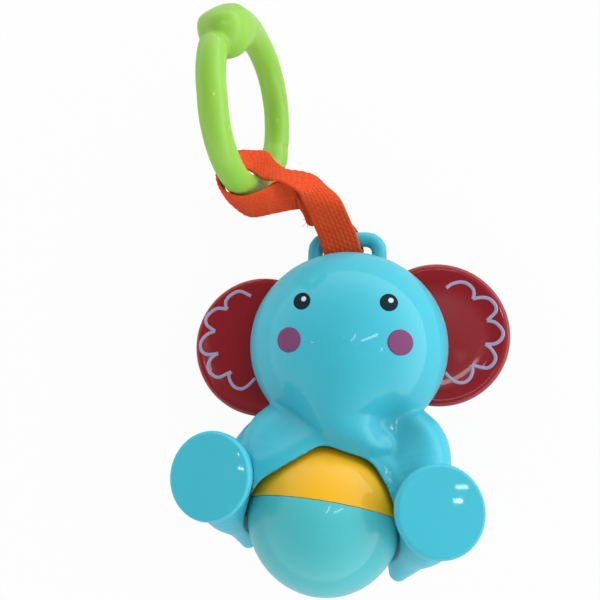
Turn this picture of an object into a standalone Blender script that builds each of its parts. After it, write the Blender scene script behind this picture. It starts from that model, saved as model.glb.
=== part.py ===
"""Elephant rattle on its back: moulded shells, rocking ears, spinning ball, webbing strap and snap ring.

Sizes are in millimetres and scaled by MM. +Z leaves the table, +Y runs from the ball to the head and
+X along the ball's axle. The origin is on the table under the middle of the head.
"""

import math

import bmesh
import bpy
import numpy as np
from mathutils import Matrix, Vector

MM = 0.001
GAP = 0.35
WALL = 2.3

HEAD_TILT = math.radians(5.5)
PARTING_Z = 20.0
HEAD_Y, HEAD_WIDE, HEAD_LONG, HEAD_HIGH = -1.9, 32.7, 31.4, 27.0
BACK_DEEP = 24.0
TORSO_Y, TORSO_WIDE, TORSO_LONG, TORSO_HIGH = -31.0, 27.0, 13.0, 17.0

# Points along a limb: x, y, z and radius. Trunk and arms are in the head's frame, legs in the body's.
TRUNK = (
    (0.0, -4.0, 30.0, 15.0),
    (-0.6, -14.0, 31.5, 13.2),
    (-2.5, -21.5, 33.0, 10.8),
    (0.8, -26.8, 34.6, 8.6),
    (7.2, -29.8, 35.6, 6.2),
    (12.8, -30.6, 35.8, 4.6),
)
ARM = (
    (12.0, -25.0, 25.0, 8.5),
    (21.6, -32.0, 28.0, 9.8),
    (24.0, -39.0, 31.0, 8.8),
    (26.0, -44.0, 34.0, 7.5),
)
LEG = (
    (33.2, -45.4, 44.0, 11.6),
    (32.0, -50.0, 37.5, 9.8),
    (30.6, -56.5, 30.0, 8.8),
    (28.2, -62.4, 23.5, 6.6),
    (26.4, -68.0, 18.3, 4.9),
    (25.3, -72.6, 14.7, 3.1),
)
LEG_INSIDE = ((33.3, -45.4, 44.0, 9.2), (33.2, -49.4, 38.0, 7.0), (33.2, -51.2, 36.0, 5.2))
HIP = ((18.0, -31.0, 9.0, 8.5), (28.0, -42.0, 7.6, 8.0), (31.0, -55.0, 7.0, 7.4))

EAR_TILT = math.radians(9.9)
EAR_ROCK = math.radians(8.0)
EAR_X, EAR_Y, EAR_R = 29.6, 0.5, 23.9
EAR_TOP, EAR_BOTTOM = 17.6, 11.2
YOKE_LONG, YOKE_WIDE, YOKE_Z, YOKE_THICK = 34.0, 11.0, 8.2, 2.7
EAR_SCREW_X = 13.0
POST_R, POST_TOP = 3.0, 11.6

BRACKET_X, BRACKET_HALF, BRACKET_Y, BRACKET_Z = -1.35, 11.2, 35.8, 12.0
BRACKET_R, BRACKET_BEND, BRACKET_ROOT = 2.6, 4.4, 24.3

BALL = Vector((0.0, -55.3, 26.0))
BALL_R, BALL_INSIDE_R, POCKET_R, BIB_R, BIB_END = 24.5, 22.5, 25.6, 28.2, -50.6
SEAM_TURN = math.radians(70.0)
# The opening that the ball shows through, seen from above.
OPENING = (
    (-26.0, -62.0), (-24.0, -56.0), (-20.8, -45.8), (-6.0, -34.7), (-4.4, -33.7), (-2.4, -33.0), (0.0, -32.9),
    (9.6, -34.8), (11.6, -35.6), (13.2, -37.0), (19.8, -45.3), (22.0, -56.0), (23.0, -62.0),
)
AXLE_R, AXLE_HALF = 2.2, 30.0
BUSH_R, BUSH_X, BUSH_LONG = 4.2, 26.2, 3.6
BEAD_R, BEAD_STEP = 3.0, 7.2

FOOT_X, FOOT_Y, FOOT_Z, FOOT_R = 33.2, -44.9, 49.6, 12.85
FOOT_SPLAY, FOOT_PITCH, FOOT_THICK = math.radians(12.6), math.radians(-7.0), 4.0

RING_CENTRE = Vector((-41.9, 72.5, 30.4))
RING_NORMAL = Vector((0.974, 0.074, 0.215)).normalized()
RING_R, TUBE_R = 26.0, 4.6
RING_TIP, RING_CATCH, RING_HANG = 67.0, 407.0, 180.0
FLARE, FLARE_FROM, TIP_ASIDE = 2.5, 345.0, 1.6

STRAP_WIDE, STRAP_THICK = 13.0, 1.2
# The webbing's closed loop: its middle, and the direction across it, from the bar round the ring and back.
STRAP_ROUTE = (
    ((-5.7, 30.3, 15.2), (0.97, 0.24, 0.0)),
    ((-7.6, 34.8, 17.4), (0.98, 0.21, 0.0)),
    ((-9.9, 38.8, 19.6), (0.98, 0.17, 0.0)),
    ((-12.6, 43.4, 22.4), (0.99, 0.14, 0.0)),
    ((-14.9, 46.5, 25.0), (0.87, 0.3, -0.4)),
    ((-17.1, 48.2, 27.4), (0.62, 0.41, -0.67)),
    ((-20.8, 50.4, 29.0), (0.6, 0.47, -0.65)),
    ((-24.4, 51.3, 29.8), (0.43, 0.49, -0.76)),
    ((-28.3, 51.4, 30.2), (0.24, 0.53, -0.81)),
    ((-31.9, 52.3, 30.3), (0.2, 0.69, -0.69)),
    ((-35.3, 55.2, 30.3), (0.18, 0.75, -0.63)),
    ((-39.3, 56.4, 30.3), (0.01, 0.64, -0.77)),
    ((-43.3, 56.3, 30.3), (-0.14, 0.59, -0.8)),
    ((-47.0, 54.7, 30.3), (-0.14, 0.4, -0.91)),
    ((-48.4, 49.7, 30.3), (-0.12, 0.13, -0.98)),
    ((-47.0, 44.8, 30.3), (-0.03, -0.1, -0.99)),
    ((-43.6, 41.5, 30.3), (0.13, -0.18, -0.97)),
    ((-38.1, 39.6, 30.0), (0.12, -0.27, -0.96)),
    ((-31.3, 42.2, 28.6), (0.23, -0.32, -0.92)),
    ((-26.7, 45.5, 26.0), (0.28, -0.52, -0.8)),
    ((-23.0, 45.7, 24.2), (0.3, -0.34, -0.89)),
    ((-19.4, 45.2, 21.2), (0.46, -0.06, -0.89)),
    ((-14.8, 43.5, 18.8), (0.97, 0.22, -0.07)),
    ((-12.7, 40.0, 16.6), (0.98, 0.19, 0.0)),
    ((-10.1, 39.9, 14.0), (1.0, 0.1, 0.0)),
    ((-7.4, 37.7, 8.6), (1.0, 0.1, 0.0)),
    ((-5.3, 32.4, 9.2), (1.0, 0.1, 0.0)),
    ((-5.3, 31.2, 12.4), (0.99, 0.11, 0.0)),
)

SHELL_SCREWS = ((-6.0, 23.0, 4.5), (6.0, 23.0, 4.5), (-14.0, -29.0, 0.4), (14.0, -29.0, 0.4))
POST_HIGH = (29.8, 34.3)
LEG_SCREW_X, LEG_SCREW_Y = 31.6, -54.0

HEAD = Matrix.Rotation(HEAD_TILT, 4, "Z")
EARS = Matrix.Rotation(EAR_TILT, 4, "Z")
BODY = Matrix.Translation((-0.6, 0.0, 0.0))
WORLD = Matrix.Identity(4)

COLOURS = {
    "teal": (0.075, 0.47, 0.55, 1.0),
    "aqua": (0.09, 0.52, 0.57, 1.0),
    "red": (0.21, 0.012, 0.022, 1.0),
    "yellow": (0.86, 0.45, 0.02, 1.0),
    "green": (0.33, 0.62, 0.06, 1.0),
    "orange": (0.75, 0.085, 0.025, 1.0),
    "steel": (0.55, 0.55, 0.56, 1.0),
    "white": (0.8, 0.8, 0.78, 1.0),
}


def clear_scene():
    for thing in list(bpy.data.objects):
        bpy.data.objects.remove(thing, do_unlink=True)


def material(colour):
    found = bpy.data.materials.get(colour)
    if found:
        return found
    made = bpy.data.materials.new(colour)
    made.use_nodes = True
    shader = made.node_tree.nodes["Principled BSDF"]
    shader.inputs["Base Color"].default_value = COLOURS[colour]
    shader.inputs["Roughness"].default_value = 0.35
    shader.inputs["Metallic"].default_value = 1.0 if colour == "steel" else 0.0
    return made


def add_object(name, form, colour=None, place=WORLD):
    """Puts a mesh made in millimetres into the scene. Without a colour it is a hidden cutter."""
    bmesh.ops.recalc_face_normals(form, faces=form.faces)
    bmesh.ops.scale(form, vec=(MM, MM, MM), verts=form.verts)
    mesh = bpy.data.meshes.new(name)
    form.to_mesh(mesh)
    form.free()
    thing = bpy.data.objects.new(name, mesh)
    thing.matrix_world = Matrix.Translation(place.translation * MM) @ place.to_3x3().to_4x4()
    bpy.context.scene.collection.objects.link(thing)
    if colour:
        mesh.materials.append(material(colour))
    else:
        thing.hide_render = True
        thing.display_type = "WIRE"
    return thing


def blob(form, centre, sizes, frame=WORLD, detail=3):
    """An ellipsoid with its axes along the frame's."""
    x, y, z = sizes
    place = frame @ Matrix.Translation(centre) @ Matrix.Diagonal((x, y, z, 1.0))
    bmesh.ops.create_icosphere(form, subdivisions=detail, radius=1.0, matrix=place)


def limb(form, points, frame, side=1, grow=0.0):
    """A row of balls close enough for a remesh to join them into one tapered limb."""
    for first, second in zip(points, points[1:]):
        length = (Vector(second[:3]) - Vector(first[:3])).length
        steps = max(2, math.ceil(length / (0.28 * min(first[3], second[3]))))
        for step in range(steps + 1):
            x, y, z, radius = (a + (b - a) * step / steps for a, b in zip(first, second))
            size = radius + grow
            blob(form, (side * x, y, z), (size, size, size), frame)


def rod(form, start, end, radius, sides=16, frame=WORLD):
    start, end = frame @ Vector(start), frame @ Vector(end)
    turn = (end - start).to_track_quat("Z", "Y").to_matrix().to_4x4()
    bmesh.ops.create_cone(
        form,
        cap_ends=True,
        segments=sides,
        radius1=radius,
        radius2=radius,
        depth=(end - start).length,
        matrix=Matrix.Translation((start + end) / 2) @ turn,
    )


def box(form, low, high):
    low, high = Vector(low), Vector(high)
    size = high - low
    place = Matrix.Translation((low + high) / 2) @ Matrix.Diagonal((*size, 1.0))
    bmesh.ops.create_cube(form, size=1.0, matrix=place)


def prism(form, outline, low, high):
    """An outline in the XY plane, given in order round it, between two heights."""
    bottom = [form.verts.new((spot.x, spot.y, low)) for spot in outline]
    top = [form.verts.new((spot.x, spot.y, high)) for spot in outline]
    form.faces.new(bottom)
    form.faces.new(top)
    for k in range(len(outline)):
        n = (k + 1) % len(outline)
        form.faces.new((bottom[k], bottom[n], top[n], top[k]))


def turned(profile, sides=40):
    """A profile of (radius, height) pairs turned about Z. Its first and last points are on the axis."""
    form = bmesh.new()
    chain = [form.verts.new((radius, 0.0, height)) for radius, height in profile]
    edges = [form.edges.new(pair) for pair in zip(chain, chain[1:])]
    bmesh.ops.spin(
        form,
        geom=chain + edges,
        cent=(0, 0, 0),
        axis=(0, 0, 1),
        angle=2 * math.pi,
        steps=sides,
        use_merge=True,
    )
    bmesh.ops.remove_doubles(form, verts=form.verts, dist=1e-4)
    return form


def tube_along(points, radii, sides=14):
    """A closed tube with round ends left to the caller: flat caps at both ends."""
    form = bmesh.new()
    rings = []
    across = None
    for index, point in enumerate(points):
        before, after = points[max(index - 1, 0)], points[min(index + 1, len(points) - 1)]
        along = (after - before).normalized()
        if across is None:
            across = along.orthogonal().normalized()
        across = (across - along * across.dot(along)).normalized()
        other = along.cross(across)
        rings.append([
            form.verts.new(point + radii[index] * (math.cos(a) * across + math.sin(a) * other))
            for a in (2 * math.pi * k / sides for k in range(sides))
        ])
    for ring, following in zip(rings, rings[1:]):
        for k in range(sides):
            n = (k + 1) % sides
            form.faces.new((ring[k], ring[n], following[n], following[k]))
    form.faces.new(rings[0])
    form.faces.new(rings[-1])
    return form


def melt(thing, voxel, smooth, ratio):
    """Joins a heap of solids into one smooth skin and thins its mesh."""
    remesh = thing.modifiers.new("join", "REMESH")
    remesh.mode = "VOXEL"
    remesh.voxel_size = voxel * MM
    soften = thing.modifiers.new("soften", "SMOOTH")
    soften.factor = 0.5
    soften.iterations = smooth
    thin = thing.modifiers.new("thin", "DECIMATE")
    thin.ratio = ratio
    return thing


def boolean(thing, tool, operation="DIFFERENCE"):
    step = thing.modifiers.new(tool.name, "BOOLEAN")
    step.operation = operation
    step.solver = "EXACT"
    step.object = tool
    return thing


def rounded(profile_end, radius, steps=2):
    """Points of a quarter round from the side of a turned piece to its end, for screw heads."""
    wide, high = profile_end
    return [
        (wide - radius + radius * math.cos(a), high - radius + radius * math.sin(a))
        for a in (math.pi / 2 * k / steps for k in range(steps + 1))
    ]


def screw(name, x, y, head_z, length, head_r=2.6, shank_r=1.35, down=True, frame=WORLD):
    """A pan-head screw: down means that its head is below and it drives upwards."""
    sign = -1.0 if down else 1.0
    profile = [(0.0, sign * 1.9)]
    profile += [(r, sign * h) for r, h in reversed(rounded((head_r, 1.9), 0.8))]
    profile += [(head_r, 0.0), (shank_r, 0.0), (shank_r, -sign * (length - 1.0)), (0.0, -sign * length)]
    spot = frame @ Vector((x, y, head_z))
    return add_object(name, turned(profile, 10), "steel", Matrix.Translation(spot))


def front_outline(form, shrink=0.0):
    centre = (0.0, HEAD_Y, PARTING_Z)
    head = (HEAD_WIDE - shrink, HEAD_LONG - shrink, HEAD_HIGH - shrink)
    blob(form, centre, head, HEAD, 4)
    torso = (TORSO_WIDE - shrink, TORSO_LONG - shrink, TORSO_HIGH - shrink)
    blob(form, (0.0, TORSO_Y, 22.0), torso, HEAD, 4)
    limb(form, TRUNK, HEAD, 1, -shrink)
    for side in (-1, 1):
        limb(form, ARM, HEAD, side, -shrink)


def back_outline(form, shrink=0.0):
    head = (HEAD_WIDE - 0.6 - shrink, HEAD_LONG - 0.6 - shrink, BACK_DEEP - 2.7 * shrink)
    blob(form, (0.0, HEAD_Y, PARTING_Z), head, HEAD, 4)
    torso = (TORSO_WIDE - shrink, TORSO_LONG + 1.0 - shrink, BACK_DEEP - 2.7 * shrink)
    blob(form, (0.0, TORSO_Y - 1.0, PARTING_Z), torso, HEAD, 4)


def cutter(name, build):
    form = bmesh.new()
    build(form)
    return add_object(name, form)


def make_cutters():
    tools = {}
    tools["pocket"] = cutter("cut_ball_pocket", lambda f: blob(f, BALL, (POCKET_R,) * 3, BODY, 4))
    tools["below"] = cutter("cut_below_parting", lambda f: box(f, (-80, -90, -20), (80, 60, PARTING_Z + 0.2)))
    tools["above"] = cutter("cut_above_parting", lambda f: box(f, (-80, -90, PARTING_Z - 0.2), (80, 60, 90)))
    tools["bib"] = cutter("bib_ball", lambda f: blob(f, BALL, (BIB_R,) * 3, BODY, 4))
    tools["bib_end"] = cutter("cut_bib_end", lambda f: box(f, (-80, -99, PARTING_Z - 1), (80, BIB_END, 90)))
    outline = [Vector((x, y, 0.0)) for x, y in OPENING]
    tools["opening"] = cutter("cut_opening", lambda f: prism(f, outline, PARTING_Z - 2.0, 90.0))
    tools["table"] = cutter("cut_table", lambda f: box(f, (-80, -90, -30), (80, 60, 0)))
    tools["front_inside"] = melt(cutter("cut_front_inside", lambda f: front_outline(f, WALL)), 1.6, 6, 0.035)
    boolean(tools["front_inside"], tools["bib"])
    tools["back_inside"] = melt(cutter("cut_back_inside", lambda f: back_outline(f, WALL)), 1.8, 4, 0.03)
    for side, name in ((-1, "left"), (1, "right")):
        grown = cutter(f"cut_{name}_leg_room", lambda f: limb(f, LEG, BODY, side, 0.55))
        tools[f"{name}_leg_room"] = melt(grown, 1.3, 4, 0.05)

        def ear_room(form):
            outline = []
            for turn, start in ((-EAR_ROCK - 0.03, math.pi), (EAR_ROCK + 0.03, 0.0)):
                frame = HEAD @ Matrix.Rotation(side * turn, 4, "Z")
                for step in range(15):
                    angle = start + math.pi * step / 14
                    reach = EAR_R + 1.1
                    x, y = EAR_X + reach * math.cos(angle), EAR_Y * side + reach * math.sin(angle)
                    outline.append(frame @ Vector((side * x, y, 0.0)))
            prism(form, outline, EAR_BOTTOM - 1.4, PARTING_Z + 3.0)

        tools[f"{name}_ear_room"] = cutter(f"cut_{name}_ear_room", ear_room)
    return tools


def make_shells(tools):
    form = bmesh.new()
    front_outline(form)
    blob(form, BALL, (BIB_R,) * 3, BODY, 4)
    front = melt(add_object("front_shell", form, "teal"), 1.2, 7, 0.06)
    boolean(front, tools["front_inside"])
    boolean(front, tools["below"])
    boolean(front, tools["bib_end"])
    boolean(front, tools["opening"])
    for name in ("left", "right"):
        boolean(front, tools[f"{name}_leg_room"])

    form = bmesh.new()
    back_outline(form)
    for side in (-1, 1):
        limb(form, HIP, BODY, side)
    back = melt(add_object("back_shell", form, "teal"), 1.4, 5, 0.04)
    boolean(back, tools["back_inside"])
    boolean(back, tools["above"])
    boolean(back, tools["table"])
    for name in ("left", "right"):
        boolean(back, tools[f"{name}_ear_room"])
        boolean(back, tools[f"{name}_leg_room"])

    for index, (x, y, start) in enumerate(SHELL_SCREWS, 1):
        spot = HEAD @ Vector((x, y, 0.0))

        def pillar(form, low, high, radius):
            rod(form, (spot.x, spot.y, low), (spot.x, spot.y, high), radius, 20)

        boss = cutter(f"boss_{index}", lambda f: pillar(f, start, PARTING_Z - 0.25, 4.4))
        boolean(back, boss, "UNION")
        post = cutter(f"post_{index}", lambda f: pillar(f, PARTING_Z + 0.25, POST_HIGH[index > 2], 3.4))
        boolean(front, post, "UNION")
        boolean(back, cutter(f"bore_{index}", lambda f: pillar(f, start - 3.0, 26.0, 1.75)))
        boolean(back, cutter(f"recess_{index}", lambda f: pillar(f, start - 3.0, start + 3.25, 3.05)))
        boolean(front, cutter(f"pilot_{index}", lambda f: pillar(f, 15.0, POST_HIGH[index > 2] - 0.8, 1.7)))
        screw(f"shell_screw_{index}", x, y, start + 2.95, 25.5 - start, frame=HEAD)
    boolean(front, tools["pocket"])
    boolean(back, tools["pocket"])

    boolean(back, cutter("ear_post", lambda f: rod(f, (0, 0, 1.0), (0, 0, POST_TOP), POST_R, 20)), "UNION")
    boolean(back, cutter("ear_post_pilot", lambda f: rod(f, (0, 0, 4.0), (0, 0, 15.0), 1.6, 16)))
    boolean(back, make_bracket(), "UNION")
    for side, name in ((-1, "left"), (1, "right")):
        low = (side * LEG_SCREW_X, LEG_SCREW_Y, -3.0)
        high, seat = (low[0], low[1], 30.0), (low[0], low[1], 3.8)
        boolean(back, cutter(f"{name}_hip_bore", lambda f: rod(f, low, high, 1.75, 12, BODY)))
        boolean(back, cutter(f"{name}_hip_recess", lambda f: rod(f, low, seat, 3.05, 14, BODY)))
        screw(f"{name}_leg_screw", low[0], low[1], 3.5, 18.5, frame=BODY)


def make_bracket():
    """The arch that the strap hangs on, as a bent rod rooted in the wall of the back shell."""
    left, right = BRACKET_X - BRACKET_HALF, BRACKET_X + BRACKET_HALF
    points = [Vector((left, BRACKET_ROOT, BRACKET_Z)), Vector((left, 27.0, BRACKET_Z))]
    for side, start in ((-1, math.pi), (1, math.pi / 2)):
        across = BRACKET_X + side * (BRACKET_HALF - BRACKET_BEND)
        middle = Vector((across, BRACKET_Y - BRACKET_BEND, BRACKET_Z))
        for step in range(6):
            angle = start - math.pi / 2 * step / 5
            points.append(middle + BRACKET_BEND * Vector((math.cos(angle), math.sin(angle), 0.0)))
    points += [Vector((right, 27.0, BRACKET_Z)), Vector((right, BRACKET_ROOT, BRACKET_Z))]
    form = tube_along(points, [BRACKET_R] * len(points), 16)
    return add_object("bracket_arch", form, None, HEAD)


def make_ears():
    profile = (
        (0.0, 16.1), (10.0, 16.15), (15.0, 16.3), (18.5, 16.75), (20.8, 17.4), (22.1, EAR_TOP), (23.0, 17.3),
        (23.6, 16.5), (EAR_R, 14.8), (EAR_R - 0.3, 13.0), (22.5, 11.7), (20.8, EAR_BOTTOM), (0.0, EAR_BOTTOM),
    )
    for side, name in ((-1, "left"), (1, "right")):
        form = turned(profile, 36)
        bmesh.ops.translate(form, verts=form.verts, vec=(side * EAR_X, side * EAR_Y, 0.0))
        ear = add_object(f"{name}_ear", form, "red", EARS)
        spot = EARS @ Vector((side * EAR_SCREW_X, 0.0, 0.0))
        low, high = (spot.x, spot.y, 8.0), (spot.x, spot.y, 13.0)
        boolean(ear, cutter(f"{name}_ear_hole", lambda f: rod(f, low, high, 1.6, 16)))
        screw(f"{name}_ear_screw", side * EAR_SCREW_X, 0.0, YOKE_Z - 0.3, 4.7, frame=EARS)

    form = bmesh.new()
    box(form, (-YOKE_LONG / 2, -YOKE_WIDE / 2, YOKE_Z), (YOKE_LONG / 2, YOKE_WIDE / 2, YOKE_Z + YOKE_THICK))
    corners = [e for e in form.edges if abs(e.verts[0].co.z - e.verts[1].co.z) > 1.0]
    bmesh.ops.bevel(form, geom=corners, offset=4.0, segments=4, affect="EDGES", profile=0.5)
    yoke = add_object("ear_yoke", form, "white", EARS)
    boolean(yoke, cutter("yoke_bore", lambda f: rod(f, (0, 0, 0), (0, 0, 15), POST_R + 0.4, 24)))
    for side, name in ((-1, "left"), (1, "right")):
        spot = EARS @ Vector((side * EAR_SCREW_X, 0.0, 0.0))
        low, high = (spot.x, spot.y, 0.0), (spot.x, spot.y, 15.0)
        boolean(yoke, cutter(f"{name}_yoke_hole", lambda f: rod(f, low, high, 1.65, 16)))
    screw("ear_pivot_screw", 0.0, 0.0, POST_TOP + 0.3, 7.0, head_r=4.6, down=False)


def seam_half(name, upper):
    """The half space on one side of the ball's seam, which lies in a plane through the axle."""
    form = bmesh.new()
    if upper:
        box(form, (-40, -40, -0.15), (40, 40, 40))
    else:
        box(form, (-40, -40, -40), (40, 40, 0.15))
    turn = Matrix.Rotation(SEAM_TURN - math.pi, 4, "X")
    return add_object(name, form, None, BODY @ Matrix.Translation(BALL) @ turn)


def make_ball():
    place = BODY @ Matrix.Translation(BALL)
    turn = Matrix.Rotation(math.pi / 2, 4, "Y")
    inner = bmesh.new()
    bmesh.ops.create_uvsphere(inner, u_segments=22, v_segments=12, radius=BALL_INSIDE_R, matrix=turn)
    inside = add_object("cut_ball_inside", inner, None, place)
    bore = cutter("cut_ball_bore", lambda f: rod(f, (-40, 0, 0), (40, 0, 0), AXLE_R + GAP, 14, place))
    for name, colour, upper in (("ball_upper_half", "yellow", True), ("ball_lower_half", "aqua", False)):
        form = bmesh.new()
        bmesh.ops.create_uvsphere(form, u_segments=32, v_segments=18, radius=BALL_R, matrix=turn)
        half = add_object(name, form, colour, place)
        boolean(half, inside)
        boolean(half, bore)
        boolean(half, seam_half(f"cut_{name}", not upper))
    form = bmesh.new()
    rod(form, (-AXLE_HALF, 0, 0), (AXLE_HALF, 0, 0), AXLE_R, 14)
    add_object("ball_axle", form, "steel", place)
    for side, name in ((-1, "left"), (1, "right")):
        form = bmesh.new()
        rod(form, (side * BUSH_X, 0, 0), (side * (BUSH_X + BUSH_LONG), 0, 0), BUSH_R, 16)
        bush = add_object(f"{name}_axle_bush", form, "teal", place)
        boolean(bush, bore)
    reach = BALL_INSIDE_R - BEAD_R - 0.65
    for index, (x, y) in enumerate(((0, 0), (1, 0), (-1, 0), (0, 1), (0, -1)), 1):
        drop = math.sqrt(reach**2 - (x * BEAD_STEP) ** 2 - (y * BEAD_STEP) ** 2)
        form = bmesh.new()
        bmesh.ops.create_icosphere(form, subdivisions=2, radius=BEAD_R)
        spot = Matrix.Translation((x * BEAD_STEP, y * BEAD_STEP, -drop))
        add_object(f"bead_{index}", form, "white", place @ spot)


def make_legs(tools):
    for side, name in ((-1, "left"), (1, "right")):
        tilt = Matrix.Rotation(side * FOOT_SPLAY, 4, "Y") @ Matrix.Rotation(FOOT_PITCH, 4, "X")
        foot = BODY @ Matrix.Translation((side * FOOT_X, FOOT_Y, FOOT_Z)) @ tilt
        form = bmesh.new()
        limb(form, LEG, BODY, side)
        leg = melt(add_object(f"{name}_leg", form, "teal"), 1.3, 4, 0.09)
        boolean(leg, tools["pocket"])
        over = bmesh.new()
        box(over, (-40, -40, -FOOT_THICK - 0.3), (40, 40, 60))
        boolean(leg, add_object(f"cut_{name}_leg_top", over, None, foot))
        hollow = cutter(f"cut_{name}_leg_inside", lambda f: limb(f, LEG_INSIDE, BODY, side))
        boolean(leg, melt(hollow, 1.5, 3, 0.12))
        start, end = BALL + Vector((side * 18.0, 0, 0)), BALL + Vector((side * (AXLE_HALF + 0.5), 0, 0))
        boolean(leg, cutter(f"cut_{name}_bush_seat", lambda f: rod(f, start, end, BUSH_R + GAP, 16, BODY)))
        low, high = (side * LEG_SCREW_X, LEG_SCREW_Y, 5.0), (side * LEG_SCREW_X, LEG_SCREW_Y, 22.6)
        boolean(leg, cutter(f"cut_{name}_leg_pilot", lambda f: rod(f, low, high, 1.7, 12, BODY)))
        profile = [(0.0, 0.0), (FOOT_R - 2.2, 0.0)]
        profile += [(FOOT_R - 2.2 + 2.2 * math.sin(a), -2.2 + 2.2 * math.cos(a)) for a in (0.5, 1.0, 1.57)]
        profile += [(FOOT_R - 0.2, -3.2), (FOOT_R - 1.0, -FOOT_THICK), (0.0, -FOOT_THICK)]
        add_object(f"{name}_foot_cap", turned(profile, 32), "teal", foot)


def ring_frame():
    up = Vector((0, 0, 1)).cross(RING_NORMAL).normalized()
    high = RING_NORMAL.cross(up)
    return up, high


def ring_point(degrees, radius=RING_R):
    up, high = ring_frame()
    angle = math.radians(degrees)
    return RING_CENTRE + radius * (math.cos(angle) * up + math.sin(angle) * high)


def make_ring():
    """The snap ring: an open tube from its free tip round to a fat catch with a socket for the tip."""
    hang = ring_point(RING_HANG)
    place = Matrix.Translation(hang)

    def tube_row(form, start, stop, grow, flare=0.0):
        for step in range(60):
            angle = start + (stop - start) * step / 59
            aside = TIP_ASIDE * max(0.0, 1.0 - abs((angle - RING_TIP + 90.0) % 360.0 - 90.0) / 35.0)
            share = min(max((angle - FLARE_FROM) / (RING_CATCH - FLARE_FROM), 0.0), 1.0)
            size = TUBE_R + grow + flare * share * share * (3.0 - 2.0 * share)
            blob(form, ring_point(angle) - RING_NORMAL * aside - hang, (size,) * 3, WORLD, 2)

    form = bmesh.new()
    tube_row(form, 250.0, RING_CATCH, 0.0, FLARE)
    ring = melt(add_object("link_ring", form, "green", place), 1.0, 3, 0.07)
    socket = bmesh.new()
    tube_row(socket, RING_TIP, 120.0, 0.45)
    boolean(ring, melt(add_object("cut_ring_socket", socket, None, place), 0.8, 2, 0.1))
    tip = bmesh.new()
    tube_row(tip, RING_TIP, 252.0, 0.0)
    boolean(ring, melt(add_object("ring_free_arm", tip, None, place), 1.0, 3, 0.07), "UNION")


def strap_stations(each):
    """Stations on a smooth closed curve through the ones of the route: middle and direction across."""
    table = np.array([middle + across for middle, across in STRAP_ROUTE])
    rows = []
    for k in range(len(table)):
        a, b, c, d = (table[(k + i) % len(table)] for i in (-1, 0, 1, 2))
        for t in np.arange(each) / each:
            bend = (2 * a - 5 * b + 4 * c - d) * t**2 + (3 * b - a - 3 * c + d) * t**3
            rows.append(0.5 * (2 * b + (c - a) * t + bend))
    return [(Vector(row[:3]), Vector(row[3:]).normalized()) for row in rows]


def make_strap():
    start = HEAD @ Vector((BRACKET_X, BRACKET_Y, BRACKET_Z))
    stations = strap_stations(4)
    form = bmesh.new()
    rings = []
    for k, (middle, across) in enumerate(stations):
        along = stations[(k + 1) % len(stations)][0] - stations[k - 1][0]
        outward = across.cross(along).normalized()
        rings.append([
            form.verts.new(middle - start + outward * (i * STRAP_THICK / 2) + across * (j * STRAP_WIDE / 2))
            for i, j in ((-1, -1), (1, -1), (1, 1), (-1, 1))
        ])
    for k in range(len(rings)):
        here, there = rings[k], rings[(k + 1) % len(rings)]
        for i in range(4):
            n = (i + 1) % 4
            form.faces.new((here[i], here[n], there[n], there[i]))
    bmesh.ops.recalc_face_normals(form, faces=form.faces)
    add_object("strap", form, "orange", Matrix.Translation(start))


def main():
    clear_scene()
    tools = make_cutters()
    make_shells(tools)
    make_ears()
    make_ball()
    make_legs(tools)
    make_ring()
    make_strap()


main()
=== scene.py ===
"""Looks of the elephant rattle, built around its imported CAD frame.

Lengths are in millimetres until a mesh is made.
"""

import math

import bmesh
import bpy
import numpy as np
from mathutils import Matrix, Vector


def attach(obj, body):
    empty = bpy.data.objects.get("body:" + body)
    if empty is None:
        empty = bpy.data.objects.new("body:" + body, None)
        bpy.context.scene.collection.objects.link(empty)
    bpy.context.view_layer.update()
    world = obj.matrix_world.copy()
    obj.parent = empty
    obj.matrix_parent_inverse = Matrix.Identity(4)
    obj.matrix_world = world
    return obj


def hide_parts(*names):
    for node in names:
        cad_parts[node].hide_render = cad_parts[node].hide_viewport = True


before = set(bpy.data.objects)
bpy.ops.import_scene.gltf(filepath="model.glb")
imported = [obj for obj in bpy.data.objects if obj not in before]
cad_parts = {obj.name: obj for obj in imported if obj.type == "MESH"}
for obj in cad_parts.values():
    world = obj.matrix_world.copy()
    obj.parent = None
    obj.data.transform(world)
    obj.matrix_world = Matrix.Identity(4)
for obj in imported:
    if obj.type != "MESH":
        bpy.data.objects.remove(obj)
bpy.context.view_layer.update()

MM = 0.001
FAR = 1e9

# Head, chest and back. The head's frame is turned a little against the body's.
HEAD_TILT = math.radians(5.5)
PARTING_Z, PARTING_GAP = 20.0, 0.2
HEAD_Y, HEAD_SIZE = -1.9, (32.7, 31.4, 27.0)
CHEST_AT, CHEST_SIZE = (0, -31, 22), (27, 13, 17)
DIMPLE_AT, DIMPLE_R = (16.4, -27.4, 41.2), 5.8
BODY_X = -0.6
BACK_Y = -32
BACK_HEAD_SIZE, BACK_BODY_SIZE = (32.1, 30.8, 24.0), (27, 14, 24)
BACK_HEAD_HOLLOW, BACK_BODY_HOLLOW = (29.8, 28.5, 17.8), (24.7, 11.7, 17.8)
WALL = 2.2
SHELL_EDGE, POCKET_EDGE, INNER_EDGE = 0.5, 0.7, 0.4

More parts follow.
